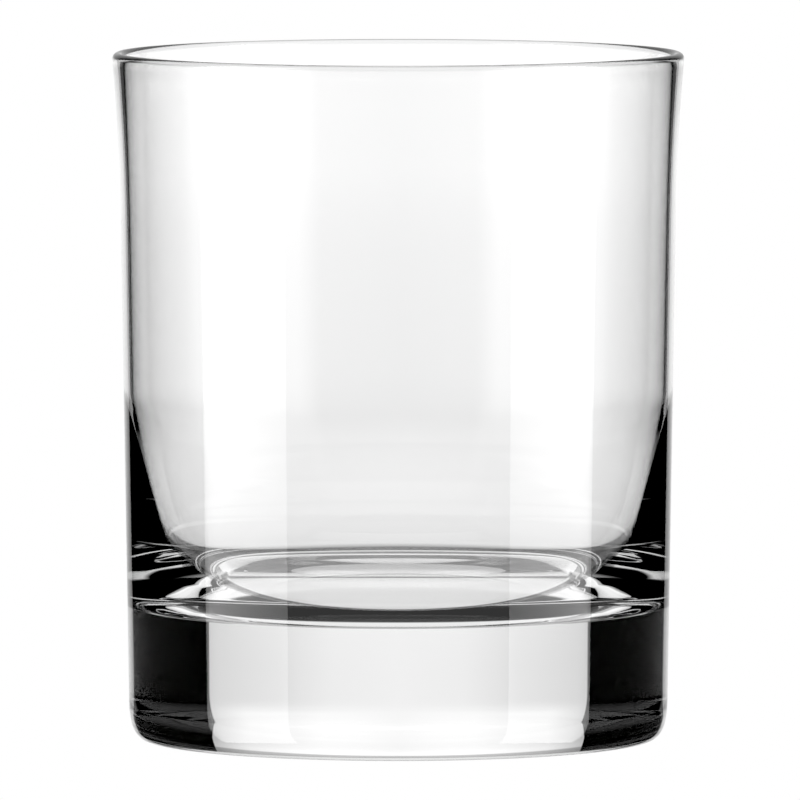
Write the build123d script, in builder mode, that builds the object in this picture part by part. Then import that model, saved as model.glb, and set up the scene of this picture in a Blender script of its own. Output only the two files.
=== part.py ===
"""Whiskey tumbler: one piece of clear soda-lime glass with a heavy base and a thin, flared wall.

The glass is one continuous body of revolution. It is built as the three zones that a glassmaker names,
which meet face to face on flat rings and together fill the glass exactly:

heavy_base  the solid slab under the drink, with its rounded heel, bearing ring and shallow punt
side_wall   the wall round the drink, thick at the inside corner and thin higher up
rim_bead    the flared top of the wall, with its thickened, fire-polished lip

Millimetres, +Z up. The origin is on the axis, in the plane that the foot stands on.
"""
from build123d import *
import os

os.makedirs("parts", exist_ok=True)

# Driving dimensions, outside
HEIGHT = 102.0  # foot to lip
RIM_RADIUS = 42.4  # outside of the lip
WALL_RADIUS = 41.15  # outside, where the flare starts
FOOT_RADIUS = 39.97  # outside, at the top of the heel
FLARE_START = 76.0  # height where the straight taper turns into the flare
HEEL_HEIGHT = 5.0  # from the foot up to where the rounded heel runs into the side
RING_RADIUS = 37.2  # outside edge of the flat ring that the glass stands on
PUNT_RADIUS = 31.0  # inside edge of that ring
PUNT_DEPTH = 1.6  # hollow under the foot, at the axis

# Driving dimensions, inside
BASE_THICKNESS = 18.55  # foot to the middle of the drink's floor
FLOOR_RADIUS = 27.3  # where the floor meets the rounded corner
FLOOR_RISE = 0.4  # how far the floor rises from its middle to that edge
CORNER_RADIUS = 36.3  # where the tight corner turns into the long shoulder
CORNER_HEIGHT = 31.0
SHOULDER_HEIGHT = 52.0  # where the long shoulder runs out into the thin wall
SHOULDER_THICKNESS = 1.35  # of the wall there, and up to the flare
LIP_THICKNESS = 1.8  # across the fire-polished lip

# How the curves leave their ends
HEEL_PULL_OUT = 1.6  # how far the heel's curve stays flat beyond the ring
HEEL_PULL_DOWN = 3.4  # how far down the heel's curve holds to its slope at the side
HEEL_LEAN = 0.05  # that slope, radius over height
CORNER_LEAN = 0.2275  # slope of the inside, radius over height, where corner and shoulder meet
CORNER_PULL_UP = 6.0  # how far up the shoulder's curve holds to that slope
CORNER_PULL_DOWN = 5.0  # how far down the corner's curve holds to it
SHOULDER_PULL = 5.5  # how far down the shoulder's curve holds to the wall's own taper
FLOOR_PULL = 4.6  # how far outward the corner's curve holds to the slope of the floor's edge

# Worked out from them
TAPER = (WALL_RADIUS - FOOT_RADIUS) / (FLARE_START - HEEL_HEIGHT)
FLARE_BEND = FLARE_START + (HEIGHT - FLARE_START) / 2
LIP_RADIUS = LIP_THICKNESS / 2
LIP_HEIGHT = HEIGHT - LIP_RADIUS
FLOOR_EDGE = BASE_THICKNESS + FLOOR_RISE
FLOOR_LEAN = 2 * FLOOR_RISE / FLOOR_RADIUS


def wall_radius(height):
    """Outside radius of the straight, tapered part of the wall at a height."""
    return FOOT_RADIUS + TAPER * (height - HEEL_HEIGHT)


# heavy_base: the solid slab, up to the plane of the floor's edge
with BuildPart() as heavy_base:
    with BuildSketch(Plane.XZ):
        with BuildLine():
            ring = Line((PUNT_RADIUS, 0), (RING_RADIUS, 0))
            heel = Bezier(
                (RING_RADIUS, 0),
                (RING_RADIUS + HEEL_PULL_OUT, 0),
                (FOOT_RADIUS - HEEL_LEAN * HEEL_PULL_DOWN, HEEL_HEIGHT - HEEL_PULL_DOWN),
                (FOOT_RADIUS, HEEL_HEIGHT),
            )
            side = Line((FOOT_RADIUS, HEEL_HEIGHT), (wall_radius(FLOOR_EDGE), FLOOR_EDGE))
            ledge = Line(side @ 1, (FLOOR_RADIUS, FLOOR_EDGE))
            floor = Bezier(
                (FLOOR_RADIUS, FLOOR_EDGE), (FLOOR_RADIUS / 2, BASE_THICKNESS), (0, BASE_THICKNESS)
            )
            axis = Line((0, BASE_THICKNESS), (0, PUNT_DEPTH))
            punt = Bezier((0, PUNT_DEPTH), (PUNT_RADIUS / 2, PUNT_DEPTH), (PUNT_RADIUS, 0))
        make_face()
    revolve(axis=Axis.Z)
heavy_base.part.label = "heavy_base"
export_step(heavy_base.part, "parts/heavy_base.step")

# side_wall: from the plane of the floor's edge up to the start of the flare
with BuildPart() as side_wall:
    with BuildSketch(Plane.XZ):
        with BuildLine():
            outside = Line((wall_radius(FLOOR_EDGE), FLOOR_EDGE), (WALL_RADIUS, FLARE_START))
            top = Line(outside @ 1, (WALL_RADIUS - SHOULDER_THICKNESS, FLARE_START))
            shoulder_end = (wall_radius(SHOULDER_HEIGHT) - SHOULDER_THICKNESS, SHOULDER_HEIGHT)
            thin = Line(top @ 1, shoulder_end)
            shoulder = Bezier(
                shoulder_end,
                (shoulder_end[0] - TAPER * SHOULDER_PULL, SHOULDER_HEIGHT - SHOULDER_PULL),
                (CORNER_RADIUS + CORNER_LEAN * CORNER_PULL_UP, CORNER_HEIGHT + CORNER_PULL_UP),
                (CORNER_RADIUS, CORNER_HEIGHT),
            )
            corner = Bezier(
                (CORNER_RADIUS, CORNER_HEIGHT),
                (CORNER_RADIUS - CORNER_LEAN * CORNER_PULL_DOWN, CORNER_HEIGHT - CORNER_PULL_DOWN),
                (FLOOR_RADIUS + FLOOR_PULL, FLOOR_EDGE + FLOOR_LEAN * FLOOR_PULL),
                (FLOOR_RADIUS, FLOOR_EDGE),
            )
            ledge = Line(corner @ 1, outside @ 0)
        make_face()
    revolve(axis=Axis.Z)
side_wall.part.label = "side_wall"
export_step(side_wall.part, "parts/side_wall.step")

# rim_bead: the flare and the rounded lip
with BuildPart() as rim_bead:
    with BuildSketch(Plane.XZ):
        with BuildLine():
            outer = Bezier(
                (WALL_RADIUS, FLARE_START),
                (wall_radius(FLARE_BEND), FLARE_BEND),
                (RIM_RADIUS, LIP_HEIGHT),
            )
            lip = ThreePointArc(
                (RIM_RADIUS, LIP_HEIGHT),
                (RIM_RADIUS - LIP_RADIUS, HEIGHT),
                (RIM_RADIUS - LIP_THICKNESS, LIP_HEIGHT),
            )
            inner = Bezier(
                (RIM_RADIUS - LIP_THICKNESS, LIP_HEIGHT),
                (wall_radius(FLARE_BEND) - SHOULDER_THICKNESS, FLARE_BEND),
                (WALL_RADIUS - SHOULDER_THICKNESS, FLARE_START),
            )
            seat = Line(inner @ 1, outer @ 0)
        make_face()
    revolve(axis=Axis.Z)
rim_bead.part.label = "rim_bead"
export_step(rim_bead.part, "parts/rim_bead.step")
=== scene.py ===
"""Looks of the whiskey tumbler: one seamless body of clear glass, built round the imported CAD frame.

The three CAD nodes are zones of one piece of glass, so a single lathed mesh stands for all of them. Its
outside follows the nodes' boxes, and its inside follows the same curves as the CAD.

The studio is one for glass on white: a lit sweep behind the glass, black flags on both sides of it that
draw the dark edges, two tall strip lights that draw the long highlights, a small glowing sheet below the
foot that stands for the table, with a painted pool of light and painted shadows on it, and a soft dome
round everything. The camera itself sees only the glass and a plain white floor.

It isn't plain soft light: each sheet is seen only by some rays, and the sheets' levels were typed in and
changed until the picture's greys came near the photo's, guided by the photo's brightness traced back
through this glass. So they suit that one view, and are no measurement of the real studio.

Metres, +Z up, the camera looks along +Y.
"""

import math

import bpy
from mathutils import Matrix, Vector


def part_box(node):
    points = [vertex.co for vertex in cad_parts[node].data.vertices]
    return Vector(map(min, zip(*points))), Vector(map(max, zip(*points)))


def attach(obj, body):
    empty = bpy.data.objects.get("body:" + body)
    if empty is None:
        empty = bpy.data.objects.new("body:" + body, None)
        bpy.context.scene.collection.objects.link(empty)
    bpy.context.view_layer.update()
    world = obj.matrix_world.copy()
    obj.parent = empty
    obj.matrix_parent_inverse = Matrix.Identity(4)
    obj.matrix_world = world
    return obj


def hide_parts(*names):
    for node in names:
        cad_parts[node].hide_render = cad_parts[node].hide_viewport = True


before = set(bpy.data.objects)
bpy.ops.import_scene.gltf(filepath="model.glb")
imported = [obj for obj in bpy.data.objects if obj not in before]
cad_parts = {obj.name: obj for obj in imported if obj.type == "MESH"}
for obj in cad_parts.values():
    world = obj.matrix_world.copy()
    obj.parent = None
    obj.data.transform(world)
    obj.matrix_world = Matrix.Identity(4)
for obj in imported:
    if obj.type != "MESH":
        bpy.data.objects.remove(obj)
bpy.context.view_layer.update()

MM = 0.001

# ---------------------------------------------------------------- sizes that the frame gives
rim_low, rim_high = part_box("rim_bead")
wall_low, wall_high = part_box("side_wall")
HEIGHT = rim_high.z
RIM_RADIUS = rim_high.x
FLARE_START = rim_low.z
WALL_RADIUS = wall_high.x
FLOOR_EDGE = wall_low.z

# ---------------------------------------------------------------- sizes inside the zones, as in the CAD
FOOT_RADIUS = 39.97 * MM  # outside, at the top of the heel
HEEL_HEIGHT = 5.0 * MM  # from the foot up to where the rounded heel runs into the side
RING_RADIUS = 37.2 * MM  # outside edge of the flat ring that the glass stands on
PUNT_RADIUS = 31.0 * MM  # inside edge of that ring
PUNT_DEPTH = 1.6 * MM  # hollow under the foot, at the axis
FLOOR_RADIUS = 27.3 * MM  # where the floor meets the rounded corner
FLOOR_RISE = 0.4 * MM  # how far the floor rises from its middle to that edge
CORNER_RADIUS = 36.3 * MM  # where the tight corner turns into the long shoulder
CORNER_HEIGHT = 31.0 * MM
SHOULDER_HEIGHT = 52.0 * MM  # where the long shoulder runs out into the thin wall
WALL_THICKNESS = 1.35 * MM
LIP_THICKNESS = 1.8 * MM

# How the curves leave their ends
HEEL_PULL_OUT = 1.6 * MM  # how far the heel's curve stays flat beyond the ring
HEEL_PULL_DOWN = 3.4 * MM  # how far down the heel's curve holds to its slope at the side
HEEL_LEAN = 0.05  # that slope, radius over height
CORNER_LEAN = 0.2275  # slope of the inside, radius over height, where corner and shoulder meet
CORNER_PULL_UP = 6.0 * MM
CORNER_PULL_DOWN = 5.0 * MM
SHOULDER_PULL = 5.5 * MM
FLOOR_PULL = 4.6 * MM

# Worked out from them
TAPER = (WALL_RADIUS - FOOT_RADIUS) / (FLARE_START - HEEL_HEIGHT)
FLARE_BEND = (FLARE_START + HEIGHT) / 2
LIP_RADIUS = LIP_THICKNESS / 2
LIP_HEIGHT = HEIGHT - LIP_RADIUS
BASE_THICKNESS = FLOOR_EDGE - FLOOR_RISE
FLOOR_LEAN = 2 * FLOOR_RISE / FLOOR_RADIUS  # slope of the floor at its edge

SEGMENTS = 256  # round the axis


def wall_radius(height):
    """Outside radius of the straight, tapered part of the wall at a height."""
    return FOOT_RADIUS + TAPER * (height - HEEL_HEIGHT)


def bezier(points, steps):
    """Points along a Bezier curve, without its first point."""
    degree = len(points) - 1
    found = []
    for i in range(1, steps + 1):
        t = i / steps
        weights = [math.comb(degree, k) * (1 - t) ** (degree - k) * t**k for k in range(degree + 1)]
        radius = sum(w * p[0] for w, p in zip(weights, points))
        height = sum(w * p[1] for w, p in zip(weights, points))
        found.append((radius, height))
    return found


def arc(centre, size, start, end, steps):
    """Points along a circular arc from start to end degrees, without its first point."""
    found = []
    for i in range(1, steps + 1):
        angle = math.radians(start + (end - start) * i / steps)
        found.append((centre[0] + size * math.cos(angle), centre[1] + size * math.sin(angle)))
    return found


def outside_profile():
    """Radius and height from the middle of the punt, round the heel, up the wall and over the lip."""
    points = [(0.0, PUNT_DEPTH)]
    points += bezier([(0.0, PUNT_DEPTH), (PUNT_RADIUS / 2, PUNT_DEPTH), (PUNT_RADIUS, 0.0)], 24)
    ring = (RING_RADIUS, 0.0)
    heel_low = (RING_RADIUS + HEEL_PULL_OUT, 0.0)
    heel_side = (FOOT_RADIUS - HEEL_LEAN * HEEL_PULL_DOWN, HEEL_HEIGHT - HEEL_PULL_DOWN)
    heel_top = (FOOT_RADIUS, HEEL_HEIGHT)
    points += [ring]
    points += bezier([ring, heel_low, heel_side, heel_top], 32)
    points += bezier([heel_top, (WALL_RADIUS, FLARE_START)], 40)
    flare = [(WALL_RADIUS, FLARE_START), (wall_radius(FLARE_BEND), FLARE_BEND), (RIM_RADIUS, LIP_HEIGHT)]
    points += bezier(flare, 24)
    points += arc((RIM_RADIUS - LIP_RADIUS, LIP_HEIGHT), LIP_RADIUS, 0, 180, 24)
    return points


def inside_profile():
    """Radius and height from below the lip down the wall, round the corner and across the floor."""
    lip = (RIM_RADIUS - LIP_THICKNESS, LIP_HEIGHT)
    flare_end = (WALL_RADIUS - WALL_THICKNESS, FLARE_START)
    shoulder_end = (wall_radius(SHOULDER_HEIGHT) - WALL_THICKNESS, SHOULDER_HEIGHT)
    shoulder_hold = (shoulder_end[0] - TAPER * SHOULDER_PULL, SHOULDER_HEIGHT - SHOULDER_PULL)
    corner_above = (CORNER_RADIUS + CORNER_LEAN * CORNER_PULL_UP, CORNER_HEIGHT + CORNER_PULL_UP)
    corner = (CORNER_RADIUS, CORNER_HEIGHT)
    corner_below = (CORNER_RADIUS - CORNER_LEAN * CORNER_PULL_DOWN, CORNER_HEIGHT - CORNER_PULL_DOWN)
    floor_hold = (FLOOR_RADIUS + FLOOR_PULL, FLOOR_EDGE + FLOOR_LEAN * FLOOR_PULL)
    floor_edge = (FLOOR_RADIUS, FLOOR_EDGE)
    points = bezier([lip, (wall_radius(FLARE_BEND) - WALL_THICKNESS, FLARE_BEND), flare_end], 24)
    points += bezier([flare_end, shoulder_end], 12)
    points += bezier([shoulder_end, shoulder_hold, corner_above, corner], 40)
    points += bezier([corner, corner_below, floor_hold, floor_edge], 40)
    points += bezier([floor_edge, (FLOOR_RADIUS / 2, BASE_THICKNESS), (0.0, BASE_THICKNESS)], 30)
    return points


def lathe(name, profile):
    """A closed, smooth body of revolution from a profile that starts and ends on the axis."""
    verts = []
    faces = []
    rings = []
    for radius, height in profile:
        steps = 1 if radius < 1e-9 else SEGMENTS
        rings.append(range(len(verts), len(verts) + steps))
        for k in range(steps):
            angle = 2 * math.pi * k / SEGMENTS
            verts.append((radius * math.cos(angle), radius * math.sin(angle), height))
    for low, high in zip(rings, rings[1:]):
        for k in range(SEGMENTS):
            after = (k + 1) % SEGMENTS
            if len(low) == 1:
                faces.append((low[0], high[after], high[k]))
            elif len(high) == 1:
                faces.append((low[k], low[after], high[0]))
            else:
                faces.append((low[k], low[after], high[after], high[k]))
    mesh = bpy.data.meshes.new(name)
    mesh.from_pydata(verts, [], faces)
    mesh.polygons.foreach_set("use_smooth", [True] * len(faces))
    mesh.update()
    body = bpy.data.objects.new(name, mesh)
    bpy.context.scene.collection.objects.link(body)
    return body


# ---------------------------------------------------------------- the glass
def clear_glass():
    """Clear, polished soda-lime glass."""
    material = bpy.data.materials.new("clear_glass")
    material.use_nodes = True
    shader = material.node_tree.nodes["Principled BSDF"]
    shader.inputs["Base Color"].default_value = (1.0, 1.0, 1.0, 1.0)
    shader.inputs["Roughness"].default_value = 0.0
    shader.inputs["IOR"].default_value = 1.5
    shader.inputs["Transmission Weight"].default_value = 1.0
    return material


glass_body = lathe("glass_body", outside_profile() + inside_profile())
glass_body.data.materials.append(clear_glass())
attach(glass_body, "root")
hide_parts("heavy_base", "side_wall", "rim_bead")


# ---------------------------------------------------------------- how the studio's sheets are made
def glowing(name, strength, levels=None):
    """An emitting material. Levels name the point attribute that scales the strength."""
    material = bpy.data.materials.new(name)
    material.use_nodes = True
    tree = material.node_tree
    tree.nodes.clear()
    emission = tree.nodes.new("ShaderNodeEmission")
    emission.inputs["Strength"].default_value = strength
    if levels:
        level = tree.nodes.new("ShaderNodeAttribute")
        level.attribute_name = levels
        scale = tree.nodes.new("ShaderNodeMath")
        scale.operation = "MULTIPLY"
        scale.inputs[1].default_value = strength
        tree.links.new(level.outputs["Fac"], scale.inputs[0])
        tree.links.new(scale.outputs[0], emission.inputs["Strength"])
    output = tree.nodes.new("ShaderNodeOutputMaterial")
    tree.links.new(emission.outputs[0], output.inputs[0])
    return material


def sheet_of_light(name, across, along, place, level, strength=1.0):
    """A stage sheet: place(u, v) gives its points and level(u, v) how brightly they glow, u and v 0 to 1.

    The camera doesn't see it directly, only by the light that goes through the glass or off it.
    """
    verts = []
    levels = []
    faces = []
    for j in range(along + 1):
        for i in range(across + 1):
            u, v = i / across, j / along
            verts.append(place(u, v))
            levels.append(level(u, v))
    row = across + 1
    for j in range(along):
        for i in range(across):
            first = j * row + i
            faces.append((first, first + 1, first + row + 1, first + row))
    mesh = bpy.data.meshes.new(name)
    mesh.from_pydata(verts, [], faces)
    attribute = mesh.attributes.new("glow", "FLOAT", "POINT")
    attribute.data.foreach_set("value", levels)
    mesh.materials.append(glowing(name, strength, "glow"))
    sheet = bpy.data.objects.new(name, mesh)
    bpy.context.scene.collection.objects.link(sheet)
    sheet.visible_camera = False
    sheet.visible_diffuse = False
    sheet.visible_shadow = False
    return sheet


def between(points, x):
    """Value at x on the straight lines that join (x, value) points."""
    if x <= points[0][0]:
        return points[0][1]
    for (x0, y0), (x1, y1) in zip(points, points[1:]):
        if x <= x1:
            return y0 + (y1 - y0) * (x - x0) / (x1 - x0)
    return points[-1][1]


# ---------------------------------------------------------------- the sweep behind the glass
STUDIO_CENTRE = 0.05  # height on the axis that the sweep is bent round
SWEEP_RADIUS = 0.365
SWEEP_LOW, SWEEP_HIGH = -70.0, 100.0  # degrees of elevation that the sheet covers
SWEEP_HALF = [(-38, 0.095), (-28, 0.13), (-15, 0.158), (-12.5, 0.197)]  # half its width, by elevation
SWEEP_LIGHT = [(-70, 0.03), (-60, 0.08), (-53, 0.5), (-45, 0.8), (-30, 0.9), (-15, 0.97), (-10, 0.95),
               (-7, 0.97), (-3, 1.0), (0.5, 1.04), (3, 1.1), (7.5, 1.12), (10, 0.6), (20, 0.5), (55, 0.5),
               (65, 0.9), (100, 0.9)]

# Across half the sheet, from its middle to its edge: under the glass, behind its base, behind its wall
SIDE_LIGHT_UNDER = [(0, 1.0), (0.5, 0.96), (1, 0.85)]
SIDE_LIGHT_LOW = [(0, 1.0), (0.25, 0.97), (0.42, 0.88), (0.5, 0.8), (1, 0.5)]
SIDE_LIGHT_HIGH = [(0, 1.0), (0.1, 1.03), (0.18, 1.05), (0.3, 1.05), (0.45, 0.98), (0.7, 0.85), (1, 0.5)]


def sweep_place(u, v):
    degrees = SWEEP_LOW + (SWEEP_HIGH - SWEEP_LOW) * v
    elevation = math.radians(degrees)
    x = between(SWEEP_HALF, degrees) * (2 * u - 1)
    y = SWEEP_RADIUS * math.cos(elevation)
    return (x, y, STUDIO_CENTRE + SWEEP_RADIUS * math.sin(elevation))


def sweep_level(u, v):
    degrees = SWEEP_LOW + (SWEEP_HIGH - SWEEP_LOW) * v
    across = abs(2 * u - 1)
    under = between(SIDE_LIGHT_UNDER, across)
    low = between(SIDE_LIGHT_LOW, across)
    high = between(SIDE_LIGHT_HIGH, across)
    side = between([(-15, under), (-12.5, low), (-9.5, low), (-5, high)], degrees)
    return between(SWEEP_LIGHT, degrees) * side


sheet_of_light("sweep", 40, 170, sweep_place, sweep_level)

# ---------------------------------------------------------------- the dome round everything
DOME_RADIUS = 3.0
DOME_LIGHT = [(-90, 0.6), (-60, 0.7), (-40, 0.85), (10, 0.8), (30, 0.3), (60, 0.4), (75, 0.8), (90, 0.9)]

# Black flags hang before it: a level pair on both sides of the sweep and one behind the camera, and a
# high pair above them. 1 is fully flagged, by azimuth from straight behind the glass and by elevation.
LEVEL_FLAG_ROUND = [(72, 1.0), (84, 0.0), (136, 0.0), (146, 1.0)]
LEVEL_FLAG_UP = [(-24, 0.0), (-16, 1.0), (14, 1.0), (24, 0.0)]
HIGH_FLAG_ROUND = [(136, 1.0), (146, 0.0)]
HIGH_FLAG_UP = [(9, 0.0), (13, 1.0), (34, 1.0), (40, 0.0)]


def dome_place(u, v):
    azimuth = math.radians(360 * u)
    elevation = math.radians(180 * v - 90)
    flat = DOME_RADIUS * math.cos(elevation)
    return (flat * math.sin(azimuth), flat * math.cos(azimuth), DOME_RADIUS * math.sin(elevation))


def dome_level(u, v):
    azimuth = 180 - abs(360 * u - 180)
    elevation = 180 * v - 90
    level_flag = between(LEVEL_FLAG_ROUND, azimuth) * between(LEVEL_FLAG_UP, elevation)
    high_flag = between(HIGH_FLAG_ROUND, azimuth) * between(HIGH_FLAG_UP, elevation)
    return between(DOME_LIGHT, elevation) * (1 - max(level_flag, high_flag))


dome = sheet_of_light("dome", 180, 90, dome_place, dome_level)
dome.visible_glossy = False

# ---------------------------------------------------------------- a glowing sheet below the foot for the table: painted light and painted shadow
# Painted light and shade: within 42 mm the sheet glows as a painted pool of light from the glass, from 45
# to 47 mm it is dark as a painted contact shadow ring, and on the camera's side it is dark as a painted
# shadow.
PAINTED_TABLE_RADIUS = 0.050
PAINTED_TABLE_DROP = 0.008  # how far it lies below the foot
PAINTED_TABLE_LIGHT_AND_SHADOW = [(0.042, 0.9), (0.045, 0.04), (0.047, 0.04), (0.05, 0.4)]  # by radius
PAINTED_SHADOW_EDGE = -0.018  # y on the axis where the painted shadow on the camera's side of the glass ends
PAINTED_SHADOW_BEND = 22.0  # how that edge curves back towards the sides


def painted_table_place(u, v):
    angle = 2 * math.pi * u
    return (PAINTED_TABLE_RADIUS * v * math.cos(angle), PAINTED_TABLE_RADIUS * v * math.sin(angle), -PAINTED_TABLE_DROP)


def painted_table_level(u, v):
    x, y, z = painted_table_place(u, v)
    behind_edge = y - PAINTED_SHADOW_EDGE - PAINTED_SHADOW_BEND * x * x
    # Painted shadow on the camera's side of a curved edge, times the painted pool of light and contact
    # shadow ring by radius.
    return between(PAINTED_TABLE_LIGHT_AND_SHADOW, math.hypot(x, y)) * between([(-0.002, 0.04), (0.002, 1.0)], behind_edge)


# A glowing sheet that stands for the table: its glow is painted light with painted shadows.
painted_table = sheet_of_light("painted_table", 120, 50, painted_table_place, painted_table_level)
painted_table.visible_glossy = False

# ---------------------------------------------------------------- the two strip lights
STRIP_RADIUS = 1.0
STRIP_NEAR, STRIP_FAR = 91.8, 133.0  # degrees round from straight behind the glass
STRIP_LOW, STRIP_HIGH = -0.6, 1.2
STRIP_STRENGTH = 4.4
STRIP_LIGHT = [(0, 0.5), (0.06, 0.9), (0.15, 1.0), (1, 0.45)]  # from its near edge to its far one


def strip_level(u, v):
    return between(STRIP_LIGHT, u)


def add_strip(name, side):
    """A tall light at the glass's side, brightest near its edge towards the background."""

    def place(u, v):
        azimuth = math.radians(STRIP_NEAR + (STRIP_FAR - STRIP_NEAR) * u) * side
        height = STRIP_LOW + (STRIP_HIGH - STRIP_LOW) * v
        return (STRIP_RADIUS * math.sin(azimuth), STRIP_RADIUS * math.cos(azimuth), height)

    strip = sheet_of_light(name, 84, 1, place, strip_level, STRIP_STRENGTH)
    strip.visible_transmission = False


add_strip("strip_left", -1)
add_strip("strip_right", 1)

# ---------------------------------------------------------------- floor and world, as the camera sees them
FLOOR_SIZE = 4.0
FLOOR_SIDES = 96
FLOOR_DROP = 0.0002  # keeps it clear of the foot


def add_floor():
    """A pale round floor under the glass, seen by the camera only."""
    verts = []
    for k in range(FLOOR_SIDES):
        angle = 2 * math.pi * k / FLOOR_SIDES
        verts.append((FLOOR_SIZE * math.cos(angle), FLOOR_SIZE * math.sin(angle), -FLOOR_DROP))
    mesh = bpy.data.meshes.new("floor")
    mesh.from_pydata(verts, [], [range(FLOOR_SIDES)])
    mesh.materials.append(glowing("floor", 1.0))
    floor = bpy.data.objects.new("floor", mesh)
    bpy.context.scene.collection.objects.link(floor)
    floor.visible_transmission = False
    floor.visible_glossy = False
    floor.visible_diffuse = False


add_floor()

world = bpy.data.worlds.new("studio")
bpy.context.scene.world = world
world.use_nodes = True
background = world.node_tree.nodes["Background"]
background.inputs["Color"].default_value = (1.0, 1.0, 1.0, 1.0)
background.inputs["Strength"].default_value = 1.0
world.cycles_visibility.glossy = False
world.cycles_visibility.transmission = False

# ---------------------------------------------------------------- camera
# Height, focal length and upward shift are rounded from a least-squares fit to the outline's widths,
# with the distance held fixed. The sideways shift centres the glass as in the photo.
CAMERA_DISTANCE = 2.376
CAMERA_HEIGHT = 0.2152
AIM_HEIGHT = 0.0515
FOCAL_LENGTH = 722.5  # mm, on a 36 mm sensor: a long lens, as for a catalogue picture

lens = bpy.data.cameras.new("camera")
lens.sensor_width = 36.0
lens.lens = FOCAL_LENGTH
lens.shift_x = 0.0021
lens.shift_y = -0.0097
lens.clip_end = 100.0
camera = bpy.data.objects.new("camera", lens)
bpy.context.scene.collection.objects.link(camera)
camera.location = (0.0, -CAMERA_DISTANCE, CAMERA_HEIGHT)
tilt = math.atan2(CAMERA_HEIGHT - AIM_HEIGHT, CAMERA_DISTANCE)
camera.rotation_euler = (math.pi / 2 - tilt, 0.0, 0.0)
bpy.context.scene.camera = camera

view = bpy.context.scene.view_settings
view.view_transform = "Standard"
view.look = "None"
cycles = bpy.context.scene.cycles
# Six bounces drop the light of longer chains of reflections, which keeps the base's corners black
cycles.max_bounces = 6
cycles.transmission_bounces = 6
cycles.glossy_bounces = 6
